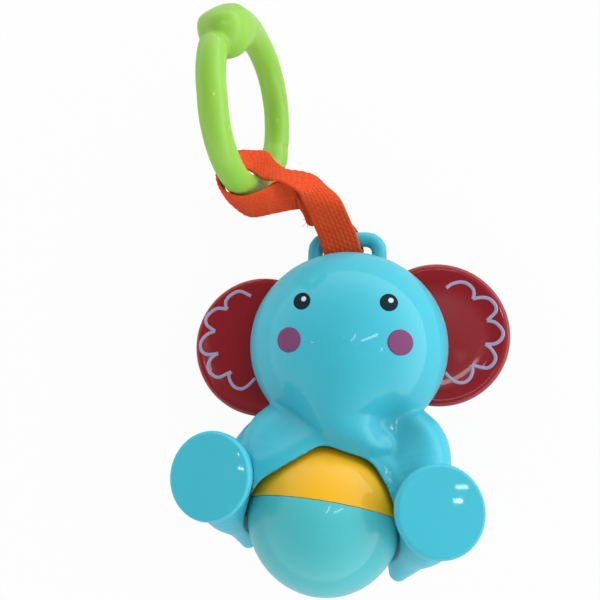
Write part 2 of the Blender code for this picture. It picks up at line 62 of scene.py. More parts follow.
# Stations of each limb: x, y, z and radius. Arms and hips are the same on both sides.
TRUNK = (
    (0.0, -4.0, 30.0, 15.0), (-0.6, -14.0, 31.5, 13.2), (-2.5, -21.5, 33.0, 10.8),
    (0.8, -26.8, 34.6, 8.6), (7.2, -29.8, 35.6, 6.2), (12.8, -30.6, 35.8, 4.6),
)
ARM = (
    (12.0, -25.0, 25.0, 8.5), (21.6, -32.0, 28.0, 9.8), (24.0, -39.0, 31.0, 8.8),
    (26.0, -44.0, 34.0, 7.5),
)
HIP = ((18.0, -31.0, 9.0, 8.5), (28.0, -42.0, 7.6, 8.0), (31.0, -55.0, 7.0, 7.4))
RIGHT_LEG = (
    (33.2, -45.4, 44.0, 11.6), (32.0, -50.0, 37.5, 9.8), (30.6, -56.5, 30.0, 8.8),
    (28.2, -62.4, 23.5, 6.6), (26.4, -68.0, 18.3, 4.9), (25.3, -72.6, 14.7, 3.1),
)
LEFT_LEG = (
    *RIGHT_LEG[:2], (30.1, -56.5, 30.0, 8.3),
    (27.4, -62.0, 23.5, 5.7), (25.8, -66.8, 18.3, 4.1), (25.1, -70.6, 14.7, 2.7),
)
LEG_GAP = 0.55

# Printed dots of the face, in the head's frame: where, how wide and how far the ink stands out.
EYE_AT, EYE_R, EYE_RISE = (13.1, 10.5), 2.72, 0.06
EYE_GLINT_OFF, EYE_GLINT_R, EYE_GLINT_RISE = (0.55, 0.65), 0.8, 0.11
CHEEK_AT, CHEEK_R, CHEEK_RISE = (16.6, -1.4), 3.85, 0.05
INK_ROOT = -0.12

EAR_TILT = math.radians(9.9)
EAR_ROCK, ROCK_SPARE = math.radians(8.0), 0.03
EAR_X, EAR_Y, EAR_R = 29.6, 0.5, 23.9
EAR_ROOM_Z, EAR_ROOM_HALF, EAR_GAP = 16.4, 6.6, 1.1
# Radius and height from the middle of the dish, over the rim, to the middle of the back.
EAR_PROFILE = (
    (0.0, 16.1), (5.0, 16.1), (10.0, 16.15), (14.0, 16.25), (17.0, 16.5), (19.0, 16.85), (20.4, 17.25),
    (21.3, 17.52), (22.1, 17.6), (22.8, 17.4), (23.4, 16.85), (23.8, 15.9), (EAR_R, 14.8),
    (EAR_R - 0.2, 13.4), (23.3, 12.4), (22.4, 11.6), (21.0, 11.2), (0.0, 11.2),
)
EAR_DISH = np.array(EAR_PROFILE[:10])

# Scallops printed on each ear, about the ear's own middle, and the film of ink across the line.
LEFT_SCALLOPS = (
    ((-3.4, 17.8), (-7.1, 19.6), (-10.2, 18.6), (-12.1, 16.8), (-12.5, 15.2), (-12.1, 13.7)),
    ((-12.1, 13.7), (-15.1, 14.1), (-17.4, 13.1), (-19.2, 11.4), (-19.7, 9.9), (-19.1, 8.2), (-16.7, 6.2)),
    ((-16.7, 6.2), (-18.9, 5.5), (-20.8, 3.9), (-21.8, 1.9), (-21.6, -0.1), (-20.3, -1.5), (-18.4, -1.8),
     (-15.9, -1.5)),
    ((-15.9, -1.5), (-18.1, -2.9), (-19.2, -4.8), (-19.4, -6.5), (-18.6, -8.3), (-16.9, -9.6), (-15.2, -9.7),
     (-13.2, -8.8), (-11.5, -8.1)),
    ((-11.5, -8.1), (-12.3, -9.4), (-11.9, -11.3), (-10.6, -13.2), (-9.0, -14.0), (-7.3, -14.0),
     (-5.2, -12.7), (-3.1, -10.7)),
)
RIGHT_SCALLOPS = (
    ((4.1, 15.4), (6.0, 16.6), (8.9, 17.1), (11.1, 16.3), (12.6, 14.7), (13.0, 13.0), (12.5, 11.2)),
    ((12.5, 11.2), (14.9, 11.5), (17.1, 11.1), (18.6, 9.9), (19.6, 8.0), (19.2, 6.1), (16.5, 3.7)),
    ((16.5, 3.7), (18.7, 3.1), (20.4, 1.4), (21.2, -0.7), (20.4, -2.8), (18.7, -4.0), (17.1, -4.2),
     (15.4, -4.1)),
    ((15.4, -4.1), (17.0, -5.6), (18.1, -7.8), (18.0, -9.5), (16.6, -11.3), (15.0, -11.9), (13.1, -11.5),
     (10.6, -10.7)),
    ((10.6, -10.7), (10.6, -12.7), (9.7, -14.8), (8.0, -16.1), (6.1, -16.3), (4.2, -15.6), (2.7, -14.1),
     (1.7, -12.7)),
)
LINE_FILM = ((-0.55, -0.1), (-0.55, 0.03), (-0.2, 0.06), (0.2, 0.06), (0.55, 0.03), (0.55, -0.1))

# The ball, the pocket it spins in, and the bib round it that thins to a lip at the opening.
BALL = np.array((BODY_X, -55.3, 26.0))
BALL_R, BALL_INSIDE_R, POCKET_R = 24.5, 22.5, 25.6
BIB_R, BIB_END, LIP_THINNER, LIP_REACH = 28.2, -50.6, 1.9, 5.0
SEAM_TURN, SEAM_EDGE, SEAM_GAP = math.radians(70.0), 0.2, 0.05
BUSH_SEAT_R, BUSH_SEAT_X, BUSH_SEAT_HALF = 4.55, 24.0, 6.5
# Corners of the opening that the ball shows through, seen from above.
OPENING = ((-24.0, -56.0), (-20.8, -45.8), (-2.8, -32.3), (12.0, -35.2), (19.8, -45.3), (22.0, -56.0))

FOOT_X, FOOT_Y, FOOT_Z, FOOT_R = 33.2, -44.9, 49.6, 12.85
FOOT_SPLAY, FOOT_PITCH = math.radians(12.6), math.radians(-7.0)
FOOT_THICK, FOOT_GAP, SOLE_EDGE = 4.0, 0.3, 1.1

BRACKET_X, BRACKET_HALF, BRACKET_Y, BRACKET_Z = -1.35, 11.2, 35.8, 12.0
BRACKET_R, BRACKET_BEND, BRACKET_ROOT = 2.6, 4.4, 24.3

# The snap ring lies in a plane of its own. Places along it are in degrees.
RING_CENTRE = np.array((-41.9, 72.5, 30.4))
RING_NORMAL = np.array((0.974, 0.074, 0.215)) / np.linalg.norm((0.974, 0.074, 0.215))
RING_R, TUBE_R = 26.0, 4.6
RING_TIP, RING_CATCH, RING_FAR = 67.0, 407.0, 250.0
TIP_ASIDE, TIP_REACH = 1.6, 35.0
FLARE, FLARE_FROM = 2.2, 345.0
CATCH_LEFT, CATCH_RIGHT, CATCH_TOP, CATCH_FOOT = 9.4, 5.6, 5.7, 6.5
CATCH_LONG, CATCH_BACK, CATCH_RIDGE = 4.9, 6.5, 0.6

# The webbing's closed loop: its middle, and the direction across it, from the bar round the ring and back.
STRAP_WIDE, STRAP_THICK, STRAP_LONG = 13.0, 1.2, 0.14
STRAP_ROUTE = (
    ((-5.7, 30.3, 15.2), (0.97, 0.24, 0.0)),
    ((-7.6, 34.8, 17.4), (0.98, 0.21, 0.0)),
    ((-9.9, 38.8, 19.6), (0.98, 0.17, 0.0)),
    ((-12.6, 43.4, 22.4), (0.99, 0.14, 0.0)),
    ((-14.9, 46.5, 25.0), (0.87, 0.3, -0.4)),
    ((-17.1, 48.2, 27.4), (0.62, 0.41, -0.67)),
    ((-20.8, 50.4, 29.0), (0.6, 0.47, -0.65)),
    ((-24.4, 51.3, 29.8), (0.43, 0.49, -0.76)),
    ((-28.6, 51.5, 29.6), (0.24, 0.54, -0.81)),
    ((-32.9, 53.8, 26.0), (0.17, 0.68, -0.71)),
    ((-37.6, 57.7, 22.6), (0.22, 0.76, -0.61)),
    ((-41.6, 57.7, 24.6), (0.07, 0.7, -0.71)),
    ((-44.2, 56.4, 28.6), (-0.11, 0.64, -0.76)),
    ((-47.0, 54.7, 30.3), (-0.14, 0.4, -0.91)),
    ((-48.4, 49.7, 30.3), (-0.12, 0.13, -0.98)),
    ((-47.1, 44.8, 30.3), (-0.03, -0.09, -1.0)),
    ((-43.7, 41.4, 30.3), (0.14, -0.18, -0.97)),
    ((-38.1, 39.6, 30.0), (0.12, -0.27, -0.96)),
    ((-31.3, 42.2, 28.6), (0.23, -0.32, -0.92)),
    ((-26.7, 45.5, 26.0), (0.28, -0.52, -0.8)),
    ((-23.0, 45.9, 24.2), (0.29, -0.36, -0.89)),
    ((-19.3, 45.5, 21.2), (0.45, -0.11, -0.89)),
    ((-14.8, 43.5, 18.8), (0.97, 0.22, -0.07)),
    ((-12.7, 40.0, 16.6), (0.98, 0.19, 0.0)),
    ((-10.1, 39.9, 14.0), (1.0, 0.1, 0.0)),
    ((-7.4, 37.7, 8.6), (1.0, 0.1, 0.0)),
    ((-5.3, 32.4, 9.2), (1.0, 0.1, 0.0)),
    ((-5.3, 31.2, 12.4), (0.99, 0.11, 0.0)),
)
RIB_LANES, RIB_LONG, RIB_HIGH = 9, 2.0, 0.3
STITCH_AT, STITCHES, STITCH_HALF, STITCH_R = (-16.6, 47.8, 26.8), 9, 0.45, 0.17
CUT_AT, LOOSE_THREADS, LOOSE_R = (-12.7, 40.0, 16.6), 8, 0.09

# Shell screws: x, y and the height that each one's boss and the room for its head are measured from.
SHELL_SCREWS = ((-6.0, 23.0, 4.5), (6.0, 23.0, 4.5), (-14.0, -29.0, 0.4), (14.0, -29.0, 0.4))
BOSS_R, BOSS_FOOT, BOSS_TOP = 4.4, 1.5, 19.5
SCREW_ROOM_R, SCREW_ROOM_DEEP, SCREW_ROOM_EDGE = 3.05, 3.25, 0.3
LEG_SCREW_X, LEG_SCREW_Y, LEG_SCREW_ROOM = 31.6, -54.0, 3.8

# The side that the room is brightest on, its even light, the light of that side and how narrow it is,
# and how far the room dims straight above.
SKY_BRIGHT = (0.8622, 0.4283, -0.2706)
SKY_EVEN, SKY_SIDE, SKY_NARROW, SKY_DIM = 1.746, 2.383, 1.844, 0.88
# Small window panes that show as glints: where each one shines, the direction it is in, its size in
# metres and its power.
PANE_AWAY = 0.5
PANES = (
    ("left_foot_pane_1", (-24.2, -37.4, 50.8), (-0.59, 0.068, 0.805), (0.002, 0.012), 0.004),
    ("left_foot_pane_2", (-23.5, -41.1, 51.4), (-0.586, 0.048, 0.809), (0.002, 0.012), 0.004),
    ("right_foot_pane_1", (37.6, -37.8, 47.6), (0.543, 0.073, 0.836), (0.004, 0.012), 0.005),
    ("right_foot_pane_2", (36.8, -41.6, 48.2), (0.54, 0.053, 0.84), (0.004, 0.009), 0.006),
    ("head_pane", (8.2, 1.0, 46.1), (0.381, 0.202, 0.902), (0.02, 0.14), 0.14),
    ("ball_pane", (1.6, -49.1, 49.6), (0.128, 0.288, 0.949), (0.022, 0.1), 0.08),
    ("ear_pane_1", (39.2, -4.1, 16.5), (0.127, 0.03, 0.991), (0.045, 0.034), 0.006),
    ("ear_pane_2", (45.5, -2.5, 16.5), (-0.152, 0.18, 0.972), (0.012, 0.009), 0.008),
)
# The floor lies just under the toy, so that the two never share a plane.
FLOOR_HALF, FLOOR_Z = 3, -2e-4
# The camera, in metres and radians, as solved from the photograph.
CAMERA_AT, CAMERA_TURN = (0.0117415, -0.0085976, 0.2310566), (0.111015, 0.126081, 0.125557)
CAMERA_LENS, CAMERA_SENSOR = 37.8, 36.0

# Size of a skin's cells, cells to a block, and the most points that a field is given at once.
FINE = 0.6
RING_FINE = 0.5
BLOCK, BATCH = 4, 200000
SIDES = ((-1, "left"), (1, "right"))


# Fields: functions from an array of points to their distance from a surface, negative inside.

def meet(first, second, soft):
    """Union of two distances with a fillet about as wide as soft."""
    share = np.clip(0.5 + 0.5 * (second - first) / soft, 0.0, 1.0)
    return second + (first - second) * share - soft * share * (1.0 - share)


def cut(first, second, soft):
    """What is inside both, with a rounded edge about as wide as soft."""
    return -meet(-first, -second, soft)


def eased(share):
    """A share from 0 to 1 that starts and ends gently."""
    return share * share * (3.0 - 2.0 * share)


def ellipsoid(points, centre, radii):
    spot = points - np.array(centre)
    near = np.linalg.norm(spot / np.array(radii), axis=1)
    slope = np.linalg.norm(spot / np.array(radii) ** 2, axis=1)
    return near * (near - 1.0) / np.maximum(slope, 1e-6)


def smooth_row(table, each=4):
    """More stations on a smooth curve through the ones of a table."""
    rows = np.array(table)
    ends = np.vstack((2 * rows[0] - rows[1], rows, 2 * rows[-1] - rows[-2]))
    made = []
    for k in range(1, len(ends) - 2):
        a, b, c, d = ends[k - 1 : k + 3]
        bend, twist = 2 * a - 5 * b + 4 * c - d, 3 * b - a - 3 * c + d
        for t in np.arange(each) / each:
            made.append(0.5 * (2 * b + (c - a) * t + bend * t**2 + twist * t**3))
    return np.array(made + [rows[-1]])


def limb(points, table, each=4):
    """Distance from a limb that tapers along its table of x, y, z and radius."""
    rows = smooth_row(table, each)
    best = np.full(len(points), FAR)
    for first, second in zip(rows, rows[1:]):
        along = second[:3] - first[:3]
        share = np.clip((points - first[:3]) @ along / (along @ along), 0.0, 1.0)
        gap = np.linalg.norm(points - first[:3] - share[:, None] * along, axis=1)
        best = np.minimum(best, gap - first[3] - share * (second[3] - first[3]))
    return best


def turned_about_z(points, angle):
    """Points in a frame that is turned by the angle about the vertical."""
    c, s = math.cos(angle), math.sin(angle)
    x, y, z = points.T
    return np.column_stack((c * x + s * y, c * y - s * x, z))


def both_sides(points):
    return np.column_stack((np.abs(points[:, 0]), points[:, 1:]))


def pillar(points, x, y, radius):
    return np.hypot(points[:, 0] - x, points[:, 1] - y) - radius


def from_ball(points):
    return np.linalg.norm(points - BALL, axis=1)


def pocket(points):
    return from_ball(points) - POCKET_R


def opening(points):
    """Distance outside the upright walls of the belly's opening."""
    worst = np.full(len(points), -FAR)
    for (ax, ay), (bx, by) in zip(OPENING, OPENING[1:]):
        length = math.hypot(bx - ax, by - ay)
        off = ((points[:, 1] - ay) * (bx - ax) - (points[:, 0] - ax) * (by - ay)) / length
        worst = -meet(-worst, -off, 2.5)
    return worst


def face_form(points):
    """The head with its trunk, chest and arms, from outside."""
    spot = turned_about_z(points, HEAD_TILT)
    head = meet(ellipsoid(spot, (0, HEAD_Y, PARTING_Z), HEAD_SIZE), limb(spot, TRUNK), 4.5)
    chest = meet(ellipsoid(spot, CHEST_AT, CHEST_SIZE), limb(both_sides(spot), ARM), 3.0)
    lip = np.clip(1.0 - opening(points) / LIP_REACH, 0.0, 1.0)
    bib = from_ball(points) - BIB_R + LIP_THINNER * eased(lip)
    bib = cut(bib, BIB_END - points[:, 1], 1.0)
    form = meet(head, meet(chest, bib, 7.0), 1.2)
    dimple = np.linalg.norm(spot - DIMPLE_AT, axis=1) - DIMPLE_R
    return cut(form, -dimple, 6.5)


def leg_form(points, side):
    return limb((points - (BODY_X, 0, 0)) * (side, 1, 1), RIGHT_LEG if side > 0 else LEFT_LEG)


def cut_leg_rooms(shell, points):
    for side, _ in SIDES:
        shell = cut(shell, LEG_GAP - leg_form(points, side), SHELL_EDGE)
    return shell


def front_shell(points):
    outer = face_form(points)
    hollow = np.maximum(outer + WALL, BIB_R - from_ball(points))
    shell = cut(outer, -hollow, INNER_EDGE)
    shell = cut(shell, PARTING_Z + PARTING_GAP - points[:, 2], SHELL_EDGE)
    shell = cut(shell, -pocket(points), POCKET_EDGE)
    shell = cut(shell, -opening(points), SHELL_EDGE)
    return cut_leg_rooms(shell, points)


def bracket_arch(spot):
    """The round bar that the strap hangs on, with its two bends, in the head's frame."""
    row = [(BRACKET_X - BRACKET_HALF, BRACKET_ROOT)]
    for side, start in ((-1, math.pi), (1, math.pi / 2)):
        x = BRACKET_X + side * (BRACKET_HALF - BRACKET_BEND)
        y = BRACKET_Y - BRACKET_BEND
        for angle in start - math.pi / 2 * np.arange(5) / 4:
            row.append((x + BRACKET_BEND * math.cos(angle), y + BRACKET_BEND * math.sin(angle)))
    row.append((BRACKET_X + BRACKET_HALF, BRACKET_ROOT))
    return limb(spot, [(x, y, BRACKET_Z, BRACKET_R) for x, y in row], 1)


def ear_room(spot):
    """Where the ears swing inside the head, in the head's frame."""
    flat = np.full(len(spot), FAR)
    for side, _ in SIDES:
        for turn in np.linspace(-EAR_ROCK - ROCK_SPARE, EAR_ROCK + ROCK_SPARE, 5):
            c, s = math.cos(turn), math.sin(turn)
            x, y = side * EAR_X, side * EAR_Y
            flat = np.minimum(flat, pillar(spot, c * x - s * y, s * x + c * y, EAR_R + EAR_GAP))
    return np.maximum(flat, np.abs(spot[:, 2] - EAR_ROOM_Z) - EAR_ROOM_HALF)


def back_form(spot, head_size, body_size):
    """The back's head and body run together, in the head's frame."""
    head = ellipsoid(spot, (0, HEAD_Y, PARTING_Z), head_size)
    return meet(head, ellipsoid(spot, (0, BACK_Y, PARTING_Z), body_size), 3.0)


def back_shell(points):
    spot = turned_about_z(points, HEAD_TILT)
    body = both_sides(points - (BODY_X, 0, 0))
    height = points[:, 2]
    shell = meet(back_form(spot, BACK_HEAD_SIZE, BACK_BODY_SIZE), limb(body, HIP), 2.0)
    shell = meet(shell, bracket_arch(spot), 1.6)
    shell = cut(shell, -back_form(spot, BACK_HEAD_HOLLOW, BACK_BODY_HOLLOW), INNER_EDGE)
    for x, y, start in SHELL_SCREWS:
        ends = np.maximum(start + BOSS_FOOT - height, height - BOSS_TOP)
        shell = meet(shell, np.maximum(pillar(spot, x, y, BOSS_R), ends), 0.6)
        room = np.maximum(pillar(spot, x, y, SCREW_ROOM_R), height - start - SCREW_ROOM_DEEP)
        shell = cut(shell, -room, SCREW_ROOM_EDGE)
    room = np.maximum(pillar(body, LEG_SCREW_X, LEG_SCREW_Y, SCREW_ROOM_R), height - LEG_SCREW_ROOM)
    shell = cut(shell, -room, SCREW_ROOM_EDGE)
    shell = cut(shell, height - PARTING_Z + PARTING_GAP, SHELL_EDGE)
    shell = cut(shell, -height, SHELL_EDGE)
    shell = cut(shell, -ear_room(spot), SHELL_EDGE)
    shell = cut(shell, -pocket(points), POCKET_EDGE)
    return cut_leg_rooms(shell, points)


def foot_frame(side):
    place = Matrix.Translation((BODY_X + side * FOOT_X, FOOT_Y, FOOT_Z))
    return place @ Matrix.Rotation(side * FOOT_SPLAY, 4, "Y") @ Matrix.Rotation(FOOT_PITCH, 4, "X")


def leg(points, side):
    """A leg, hollowed for the ball, cut off under its sole and bored for the axle's bush."""
    form = cut(leg_form(points, side), -pocket(points), SHELL_EDGE)
    into_foot = np.array(foot_frame(side).inverted())
    height = points @ into_foot[2, :3] + into_foot[2, 3]
    form = cut(form, height + FOOT_THICK + FOOT_GAP, 0.4)
    x, y, z = (points - BALL).T
    seat = np.maximum(np.hypot(y, z) - BUSH_SEAT_R, np.abs(x * side - BUSH_SEAT_X) - BUSH_SEAT_HALF)
    return cut(form, -seat, 0.2)


def ring_axes():
    up = np.cross((0, 0, 1), RING_NORMAL)
    up /= np.linalg.norm(up)
    return up, np.cross(RING_NORMAL, up)


def ring_point(degrees):
    up, high = ring_axes()
    angle = math.radians(degrees)
    return RING_CENTRE + RING_R * (math.cos(angle) * up + math.sin(angle) * high)


def ring_tube(points, start, stop, flare=0.0):
    """A stretch of the ring's tube with round ends.

    It is pushed aside near the free tip and flared towards the catch.
    """
    up, high = ring_axes()
    spot = points - RING_CENTRE
    a, b, h = spot @ up, spot @ high, spot @ RING_NORMAL
    middle = (start + stop) / 2
    turn = (np.degrees(np.arctan2(b, a)) - middle + 180.0) % 360.0 - 180.0
    turn = np.clip(turn, start - middle, stop - middle) + middle
    angle = np.radians(turn)
    from_tip = np.abs((turn - RING_TIP + 90.0) % 360.0 - 90.0)
    aside = TIP_ASIDE * np.maximum(0.0, 1.0 - from_tip / TIP_REACH)
    off = (a - RING_R * np.cos(angle)) ** 2 + (b - RING_R * np.sin(angle)) ** 2
    share = np.clip((turn - FLARE_FROM) / (RING_CATCH - FLARE_FROM), 0.0, 1.0)
    return np.sqrt(off + (h + aside) ** 2) - TUBE_R - flare * eased(share)


def ring_catch(points):
    """The fat cup at the ring's other end, whose face has an upright ridge."""
    up, high = ring_axes()
    angle = math.radians(RING_CATCH)
    spot = points - ring_point(RING_CATCH)
    aside = spot @ RING_NORMAL
    along = spot @ (math.cos(angle) * high - math.sin(angle) * up)
    outward = spot @ (math.cos(angle) * up + math.sin(angle) * high)
    off_ridge = aside - CATCH_RIDGE
    face = cut(0.9 * along + 0.44 * off_ridge, 0.95 * along - 0.31 * off_ridge, 1.0) - CATCH_LONG
    sides = cut(aside - CATCH_RIGHT, -aside - CATCH_LEFT, 2.0)
    tops = cut(outward - CATCH_TOP, -outward - CATCH_FOOT, 2.0)
    return cut(cut(sides, tops, 4.5), cut(face, -along - CATCH_BACK, 2.0), 3.6)


def snap_ring(points):
    """The free tip lies against the catch with a crease round it."""
    form = meet(ring_tube(points, RING_FAR, RING_CATCH, FLARE), ring_catch(points), 4.0)
    return meet(form, ring_tube(points, RING_TIP, RING_FAR + 2.0), 1.6)


# Meshes: spots, as rows of x, y and z, and faces, as the numbers of their spots.

def corners(size):
    """The eight slices that take the corners of each cell out of a grid of nodes."""
    return [tuple(slice(k, k + n) for k, n in zip(corner, size)) for corner in np.ndindex(2, 2, 2)]


def spread(blocks):
    """A value for each block, repeated for the cells in it."""
    return blocks.repeat(BLOCK, 0).repeat(BLOCK, 1).repeat(BLOCK, 2)


def sampled(field, low, blocks, step):
    """A field's values on a grid of nodes, worked out in full only in the blocks near its surface."""
    def values_at(nodes):
        parts = np.array_split(low + nodes * step, max(1, len(nodes) // BATCH))
        return np.concatenate([field(part) for part in parts])

    size = blocks * BLOCK
    wide = values_at(np.argwhere(np.ones(blocks + 1)) * float(BLOCK)).reshape(blocks + 1)
    near = np.full(blocks, FAR)
    for corner in corners(blocks):
        near = np.minimum(near, np.abs(wide[corner]))
    near = spread(near < BLOCK * step * 1.75)
    active = np.zeros(size + 1, bool)
    for corner in corners(size):
        active[corner] |= near
    values = np.ones(size + 1)
    values[:-1, :-1, :-1] = spread(wide[:-1, :-1, :-1])
    values[active] = values_at(np.argwhere(active))
    return values


def crossed_cells(inside):
    """The cells that a surface runs through, and the quads between them, facing out."""
    size = np.array(inside.shape) - 1
    full = np.zeros(size, int)
    for corner in corners(size):
        full += inside[corner]
    mixed = (full > 0) & (full < 8)
    number = np.full(size, -1)
    number[mixed] = np.arange(mixed.sum())
    faces = []
    for axis in range(3):
        order = (axis, (axis + 1) % 3, (axis + 2) % 3)
        nodes, cell = inside.transpose(order), number.transpose(order)
        here, there = nodes[:-1, 1:-1, 1:-1], nodes[1:, 1:-1, 1:-1]
        a, b, c = np.nonzero(here != there)
        quad = np.column_stack((cell[a, b, c], cell[a, b + 1, c], cell[a, b + 1, c + 1], cell[a, b, c + 1]))
        faces.append(np.where(here[a, b, c][:, None], quad, quad[:, ::-1]))
    return np.argwhere(mixed), np.concatenate(faces)


def evened(spots, faces):
    """Each spot moved part of the way to the middle of its neighbours."""
    total = np.zeros_like(spots)
    for k in range(4):
        np.add.at(total, faces[:, k], spots[faces[:, (k + 1) % 4]] + spots[faces[:, k - 1]])
    times = np.bincount(faces.ravel(), minlength=len(spots)) * 2.0
    return 0.4 * spots + 0.6 * total / times[:, None]


def value_and_slope(field, spots, reach=0.02):
    value = field(spots)
    return value, np.column_stack([(field(spots + reach * axis) - value) / reach for axis in np.eye(3)])


def onto_surface(field, spots, step):
    """Spots near a field's surface moved onto it, by one cell at most each time."""
    for _ in range(2):
        value, slope = value_and_slope(field, spots)
        length = np.maximum((slope**2).sum(1), 0.05)
        spots = spots - (np.clip(value, -step, step) / length)[:, None] * slope
    return spots


def skin(field, low, high, step):
    """Even quads over a field's surface between two corners."""
    low = np.array(low, float)
    blocks = np.ceil((np.array(high) - low) / step / BLOCK).astype(int)
    cells, faces = crossed_cells(sampled(field, low, blocks, step) < 0)
    spots = onto_surface(field, low + (cells + 0.5) * step, step)
    for _ in range(2):
        spots = onto_surface(field, evened(spots, faces), step)
    return spots, faces


def turned(profile, sides):
    """A profile of radius and height turned about Z, from axis to axis."""
    rows = [(r, h) for r, h in profile if r > 1e-6]
    angles = [2 * math.pi * k / sides for k in range(sides)]
    spots = [(0.0, 0.0, profile[0][1])]
    for r, h in rows:
        spots += [(r * math.cos(a), r * math.sin(a), h) for a in angles]
    spots.append((0.0, 0.0, profile[-1][1]))
    faces, last = [], len(spots) - 1
    for k in range(sides):
        n = (k + 1) % sides
        faces.append((0, 1 + k, 1 + n))
        for row in range(len(rows) - 1):
            at = 1 + row * sides
            faces.append((at + k, at + sides + k, at + sides + n, at + n))
        at = 1 + (len(rows) - 1) * sides
        faces.append((at + n, at + k, last))
    return np.array(spots), faces


def ribbon(count, around, closed=False):
    """Faces of a strip of so many rows, each one a loop of so many spots."""
    faces = []
    for k in range(count if closed else count - 1):
        here, there = k * around, (k + 1) % count * around
        for i in range(around):
            n = (i + 1) % around
            faces.append((here + i, here + n, there + n, there + i))
    if not closed:
        faces += [tuple(range(around)), tuple(range((count - 1) * around, count * around))]
    return faces


def thread(path, radius):
    """A thin round thread along a path."""
    along = np.gradient(path, axis=0)
    side = np.cross(along, (0.31, 0.22, 0.92))
    side /= np.linalg.norm(side, axis=1)[:, None]
    other = np.cross(along, side)
    other /= np.linalg.norm(other, axis=1)[:, None]
    angles = np.arange(6) * math.pi / 3
    rim = np.cos(angles)[:, None] * side[:, None] + np.sin(angles)[:, None] * other[:, None]
    return (path[:, None] + radius * rim).reshape(-1, 3), ribbon(len(path), 6)


def join(pieces):
    """One list of spots and one of faces out of several."""
    spots, faces, start = [], [], 0
    for more, sides in pieces:
        spots.append(more)
        faces += [tuple(v + start for v in side) for side in sides]
        start += len(more)
    return np.concatenate(spots), faces


def placed(spots, matrix):
    turn = np.array(matrix)
    return np.asarray(spots) @ turn[:3, :3].T + turn[:3, 3]


def add_piece(name, spots, faces, finish, body, slot, *nodes):
    """A smooth mesh made in millimetres that rides on a body and stands for the CAD nodes named."""
    mesh = bpy.data.meshes.new(name)
    mesh.from_pydata((np.asarray(spots) * MM).tolist(), [], [tuple(int(v) for v in face) for face in faces])
    form = bmesh.new()
    form.from_mesh(mesh)
    bmesh.ops.recalc_face_normals(form, faces=form.faces)
    form.to_mesh(mesh)
    form.free()
    mesh.polygons.foreach_set("use_smooth", [True] * len(mesh.polygons))
    mesh.materials.append(finish)
    piece = bpy.data.objects.new(name, mesh)
    bpy.context.scene.collection.objects.link(piece)
    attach(piece, body)
    if nodes:
        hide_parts(*nodes)
    return piece


# Finishes.

class Value:
    """A socket that takes part in arithmetic. Each operator adds one Math node."""

    def __init__(self, finish, socket):
        self.finish, self.socket = finish, socket

    def maths(self, operation, first, second):
        return self.finish.value("Math", {"operation": operation}, {0: first, 1: second})

    def __add__(self, other):
        return self.maths("ADD", self, other)

    def __radd__(self, other):
        return self.maths("ADD", other, self)

    def __sub__(self, other):
        return self.maths("SUBTRACT", self, other)

    def __rsub__(self, other):
        return self.maths("SUBTRACT", other, self)

    def __mul__(self, other):
        return self.maths("MULTIPLY", self, other)

    def __rmul__(self, other):
        return self.maths("MULTIPLY", other, self)

    def __pow__(self, other):
        return self.maths("POWER", self, other)

    def __rpow__(self, other):
        return self.maths("POWER", other, self)


class Finish:
    """A material or a sky under construction."""

    def __init__(self, name, library="materials", shader="Principled BSDF", output="Material Output"):
        self.made = getattr(bpy.data, library).new(name)
        self.made.use_nodes = True
        self.tree = self.made.node_tree
        self.shader = self.tree.nodes[shader]
        self.output = self.tree.nodes[output]

    def node(self, kind, settings=None, sockets=None):
        made = self.tree.nodes.new("ShaderNode" + kind)
        for name, value in (settings or {}).items():
            setattr(made, name, value)
        for name, value in (sockets or {}).items():
            self.feed(made.inputs[name], value)
        return made

    def value(self, kind, settings=None, sockets=None, out=0):
        return Value(self, self.node(kind, settings, sockets).outputs[out])

    def feed(self, socket, value):
        if isinstance(value, Value):
            self.tree.links.new(value.socket, socket)
        elif isinstance(value, bpy.types.NodeSocket):
            self.tree.links.new(value, socket)
        else:
            socket.default_value = value

    def set(self, **sockets):
        for name, value in sockets.items():
            self.feed(self.shader.inputs[name.replace("_", " ")], value)

    def noise(self, scale, detail, rough):
        place = self.node("TexCoord").outputs["Object"]
        sockets = {"Vector": place, "Scale": scale, "Detail": detail, "Roughness": rough}
        return self.value("TexNoise", None, sockets)

    def between(self, share, first, second):
        """A colour between two, by a share."""
        return self.value("Mix", {"data_type": "RGBA"}, {0: share, 6: first, 7: second}, 2)

    def bump(self, height, strength, distance):
        return self.value("Bump", None, {"Height": height, "Strength": strength, "Distance": distance})


def shade(colour, by=1.0):
    return tuple(min(1.0, c * by) for c in colour) + (1.0,)


def from_screen(*levels):
    """Linear colour of a screen's red, green and blue out of 255."""
    return tuple(c / 255 / 12.92 if c <= 10 else ((c / 255 + 0.055) / 1.055) ** 2.4 for c in levels)


def moulded_plastic(name, colour, gloss, shine=0.12, mottle=0.05):
    """Glossy moulded plastic, with faint flow marks in its colour, fine wear and a little orange peel."""
    made = Finish(name)
    flow = made.noise(55.0, 3.0, 0.55)
    speck = made.noise(900.0, 2.0, 0.6)
    share = flow * 0.8 + speck * 0.2
    made.set(Base_Color=made.between(share, shade(colour, 1.0 - mottle), shade(colour, 1.0 + mottle)))
    wear = made.noise(240.0, 4.0, 0.7)
    made.set(Roughness=gloss - 0.05 + wear * 0.1)
    made.set(Normal=made.bump(made.noise(420.0, 2.0, 0.5) + wear * 0.3, 0.04, 0.0002))
    made.set(Coat_Weight=0.35, Coat_Roughness=0.03, Specular_IOR_Level=shine)
    return made.made


def brushed_metal(name):
    made = Finish(name)
    streak = made.noise(700.0, 3.0, 0.6)
    made.set(Base_Color=made.between(streak, (0.42, 0.42, 0.43, 1), (0.62, 0.62, 0.62, 1)))
    made.set(Roughness=0.24 + streak * 0.2, Metallic=1.0)
    return made.made


